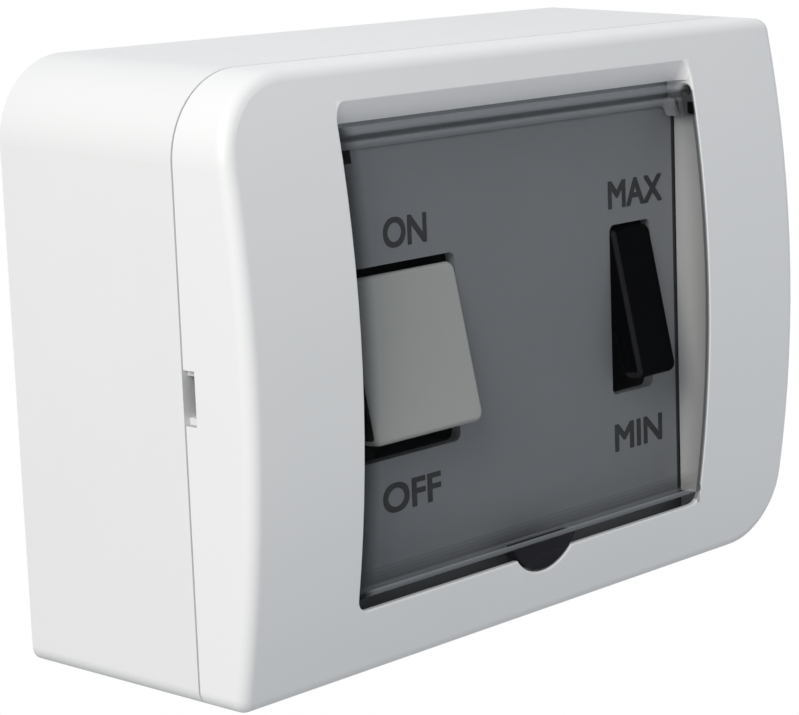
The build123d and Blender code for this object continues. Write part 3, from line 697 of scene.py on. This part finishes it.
@dataclass
class Studio:
    """Pale floor, one soft lamp, white surroundings and the camera, in metres and watts.

    The surroundings' light rises from sky_low to sky_high between the heights sky_from and sky_to of a
    direction's unit vector.
    """

    floor_drop: float = 0.34
    floor_radius: float = 0.75
    floor_sides: int = 96
    sky: str = "#F3F8FF"
    sky_low: float = 0.29
    sky_high: float = 0.53
    sky_from: float = -0.5
    sky_to: float = 0.35
    backdrop: str = "#FFFFFF"
    key_from: tuple[float, float, float] = (-0.80, -0.27, 0.535)
    key_distance: float = 1.0
    key_size: float = 0.6
    key_watts: float = 6.4
    key_colour: str = "#FFF9F3"
    eye: tuple[float, float, float] = (-0.30211, -0.30441, 0.06824)
    turn: tuple[float, float, float] = (1.62534, -0.73567, 0.56222)
    focal_px: float = 2584.7
    image_width_px: int = 799
    sensor_mm: float = 36.0

    def build(self) -> None:
        """Sets up floor, surroundings, lamp and camera."""
        scene = bpy.context.scene
        scene.view_settings.view_transform = "Standard"
        self.make_floor()
        self.make_sky(scene)
        self.make_key(scene)
        self.make_camera(scene)

    def make_floor(self) -> None:
        """Lays a round pale floor below the case."""
        shape = bmesh.new()
        bmesh.ops.create_circle(shape, cap_ends=True, segments=self.floor_sides, radius=self.floor_radius)
        bmesh.ops.translate(shape, verts=shape.verts, vec=Vector((0, 0, CAD_BOX[0].z - self.floor_drop)))
        mesh = bpy.data.meshes.new("floor")
        shape.to_mesh(mesh)
        shape.free()
        mesh.materials.append(PAPER.make())
        floor = bpy.data.objects.new("floor", mesh)
        bpy.context.scene.collection.objects.link(floor)

    def make_sky(self, scene: bpy.types.Scene) -> None:
        """Makes the surroundings white to the eye and a soft even light to the object.

        Args:
            scene: the scene to light.
        """
        world = bpy.data.worlds.new("white_studio")
        world.use_nodes = True
        tree = world.node_tree
        tree.nodes.clear()
        path = add(tree, "ShaderNodeLightPath").outputs
        seen = path["Is Camera Ray"]
        for ray in ("Is Glossy Ray", "Is Transmission Ray"):
            seen = add(tree, "ShaderNodeMath", {0: seen, 1: path[ray]}, operation="MAXIMUM").outputs[0]
        way = add(tree, "ShaderNodeTexCoord").outputs["Generated"]
        height = add(tree, "ShaderNodeSeparateXYZ", {0: way}).outputs[2]
        ends = {1: self.sky_from, 2: self.sky_to, 3: self.sky_low, 4: self.sky_high}
        rise = add(tree, "ShaderNodeMapRange", {"Value": height, **ends})
        light = add(tree, "ShaderNodeBackground", {"Color": linear(self.sky), "Strength": rise.outputs[0]})
        white = add(tree, "ShaderNodeBackground", {"Color": linear(self.backdrop), "Strength": 1.0})
        layers = {0: seen, 1: light.outputs[0], 2: white.outputs[0]}
        mixed = add(tree, "ShaderNodeMixShader", layers)
        add(tree, "ShaderNodeOutputWorld", {"Surface": mixed.outputs[0]})
        scene.world = world

    def make_key(self, scene: bpy.types.Scene) -> None:
        """Hangs a large soft lamp to the left of the case, above it.

        Args:
            scene: the scene to light.
        """
        lamp = bpy.data.lights.new("key", "AREA")
        lamp.size = self.key_size
        lamp.energy = self.key_watts
        lamp.color = linear(self.key_colour)[:3]
        key = bpy.data.objects.new("key", lamp)
        away = Vector(self.key_from).normalized()
        key.location = away * self.key_distance
        key.rotation_mode = "QUATERNION"
        key.rotation_quaternion = (-away).to_track_quat("-Z", "Y")
        scene.collection.objects.link(key)

    def make_camera(self, scene: bpy.types.Scene) -> None:
        """Sets the camera where the photograph was taken from.

        Args:
            scene: the scene to see.
        """
        lens = bpy.data.cameras.new("camera")
        lens.sensor_width = self.sensor_mm
        lens.lens = self.focal_px / self.image_width_px * self.sensor_mm
        camera = bpy.data.objects.new("camera", lens)
        axis = Vector(self.turn)
        rows = Matrix.Rotation(axis.length, 3, axis.normalized())
        facing = Matrix((rows[0], -rows[1], -rows[2])).transposed().to_4x4()
        camera.matrix_world = Matrix.Translation(self.eye) @ facing
        scene.collection.objects.link(camera)
        scene.camera = camera


def main() -> None:
    """Dresses and builds every sub-assembly, then the studio."""
    logging.basicConfig(level=logging.INFO, format="%(message)s")
    Case().dress()
    Flap().dress()
    fascia = Fascia()
    fascia.dress()
    fascia.build()
    Switch("on_off", WHITE_ROCKER).dress()
    Switch("speed", BLACK_ROCKER).dress()
    Board().dress()
    Studio().build()


if __name__ == "__main__":
    main()
